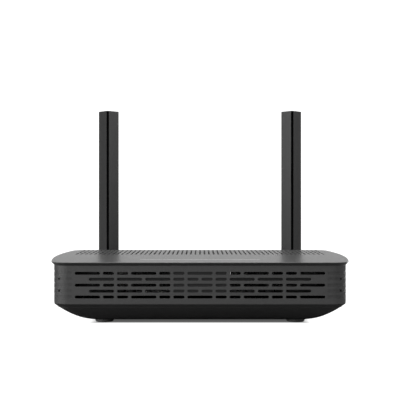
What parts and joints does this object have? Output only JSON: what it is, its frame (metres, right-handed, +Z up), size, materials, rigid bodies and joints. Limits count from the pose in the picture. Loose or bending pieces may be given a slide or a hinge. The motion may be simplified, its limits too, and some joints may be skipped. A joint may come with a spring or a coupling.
{
  "type": "optical network terminal",
  "caption": "Wide flat fibre network terminal with a slotted wall, dished base, vented top, rear sockets and buttons, and antennas that swivel and fold.",
  "frame": {"origin": "on the table under the centre of the whole object's box, antennas included", "axes": "+X to the viewer's right across the front, +Y from the slotted front to the sockets and antennas, +Z up"},
  "size_m": [0.2224, 0.1646, 0.1658],
  "materials": {
    "cover_plastic": "fine spark-textured",
    "wall_plastic": "fine spark-textured",
    "base_plastic": "moulded matte",
    "antenna_plastic": "fine spark-textured",
    "strip_gloss": "polished",
    "clear_plastic": "frosted light guide",
    "label_paper": "blank matt label",
    "foot_rubber": "soft matte",
    "zinc_steel": "zinc plated",
    "tin_steel": "tin plated",
    "board_laminate": "black solder mask",
    "chip_plastic": "moulded epoxy",
    "pad_rubber": "soft",
    "sink_aluminium": "black anodised",
    "dull_tin": "dull tin plated",
    "capacitor_sleeve": "shrunk sleeve",
    "pin_plastic": "black nylon",
    "led_plastic": "moulded lens",
    "ferrite": "sintered",
    "socket_plastic": "moulded",
    "gold_brass": "gold plated",
    "tongue_plastic": "moulded",
    "fibre_plastic": "moulded",
    "zirconia": "polished",
    "lead_jacket": "extruded jacket",
    "button_plastic": "satin"
  },
  "bodies": {
    "casing": {"top_cover": "cover_plastic", "vented_wall": "wall_plastic", "base_tray": "base_plastic", "connector_panel": "wall_plastic", "indicator_window": "clear_plastic", "rating_label": "label_paper", "rubber_feet": "foot_rubber", "case_screws": "zinc_steel", "main_board": "board_laminate", "board_screws": "zinc_steel", "processor": "chip_plastic", "thermal_pad": "pad_rubber", "heat_sink": "sink_aluminium", "heat_sink_pins": "pin_plastic", "memory_chips": "chip_plastic", "flash_chip": "chip_plastic", "crystals": "tin_steel", "line_transformers": "chip_plastic", "indicator_leds": "led_plastic", "power_inductors": "ferrite", "shield_cans": "dull_tin", "capacitors": "capacitor_sleeve", "ethernet_block": "socket_plastic", "phone_jack": "socket_plastic", "ethernet_contacts": "gold_brass", "phone_contacts": "gold_brass", "usb_shell": "tin_steel", "usb_tongue": "tongue_plastic", "fibre_adapter": "fibre_plastic", "ferrule_sleeve": "zirconia", "optical_module": "tin_steel", "power_jack": "socket_plastic", "power_pin": "gold_brass", "power_switch": "socket_plastic", "reset_switch": "socket_plastic", "side_switches": "socket_plastic", "antenna_leads": "lead_jacket", "coax_connectors": "gold_brass"},
    "power_button": {"power_button": "button_plastic"},
    "wlan_button": {"wlan_button": "button_plastic"},
    "wps_button": {"wps_button": "button_plastic"},
    "reset_plunger": {"reset_plunger": "button_plastic"},
    "swivel_left": {"antenna_knuckle_left": "antenna_plastic", "swivel_clip_left": "zinc_steel", "hinge_pin_left": "zinc_steel"},
    "antenna_left": {"antenna_foot_left": "antenna_plastic", "antenna_shell_left": "antenna_plastic", "antenna_strip_left": "strip_gloss", "antenna_element_left": "board_laminate"},
    "swivel_right": {"antenna_knuckle_right": "antenna_plastic", "swivel_clip_right": "zinc_steel", "hinge_pin_right": "zinc_steel"},
    "antenna_right": {"antenna_foot_right": "antenna_plastic", "antenna_shell_right": "antenna_plastic", "antenna_strip_right": "strip_gloss", "antenna_element_right": "board_laminate"}
  },
  "joints": [
    {"name": "power_button_slide", "type": "slide", "parent": "casing", "child": "power_button", "axis": [0, -1, 0], "range_m": [0, 0.0025]},
    {"name": "wlan_button_slide", "type": "slide", "parent": "casing", "child": "wlan_button", "axis": [-1, 0, 0], "range_m": [0, 0.0008], "stiffness_N_per_m": 300, "springref_m": -0.001},
    {"name": "wps_button_slide", "type": "slide", "parent": "casing", "child": "wps_button", "axis": [-1, 0, 0], "range_m": [0, 0.0008], "stiffness_N_per_m": 300, "springref_m": -0.001},
    {"name": "reset_slide", "type": "slide", "parent": "casing", "child": "reset_plunger", "axis": [0, -1, 0], "range_m": [0, 0.0003], "stiffness_N_per_m": 300, "springref_m": -0.0005},
    {"name": "antenna_swivel_left", "type": "hinge", "parent": "casing", "child": "swivel_left", "pos_m": [-0.0798, 0.06096, 0.027], "axis": [0, 1, 0], "range_deg": [-90, 30]},
    {"name": "antenna_fold_left", "type": "hinge", "parent": "swivel_left", "child": "antenna_left", "pos_m": [-0.0798, 0.07366, 0.027], "axis": [-1, 0, 0], "range_deg": [0, 90]},
    {"name": "antenna_swivel_right", "type": "hinge", "parent": "casing", "child": "swivel_right", "pos_m": [0.0798, 0.06096, 0.027], "axis": [0, 1, 0], "range_deg": [-30, 90]},
    {"name": "antenna_fold_right", "type": "hinge", "parent": "swivel_right", "child": "antenna_right", "pos_m": [0.0798, 0.07366, 0.027], "axis": [-1, 0, 0], "range_deg": [0, 90]}
  ]
}
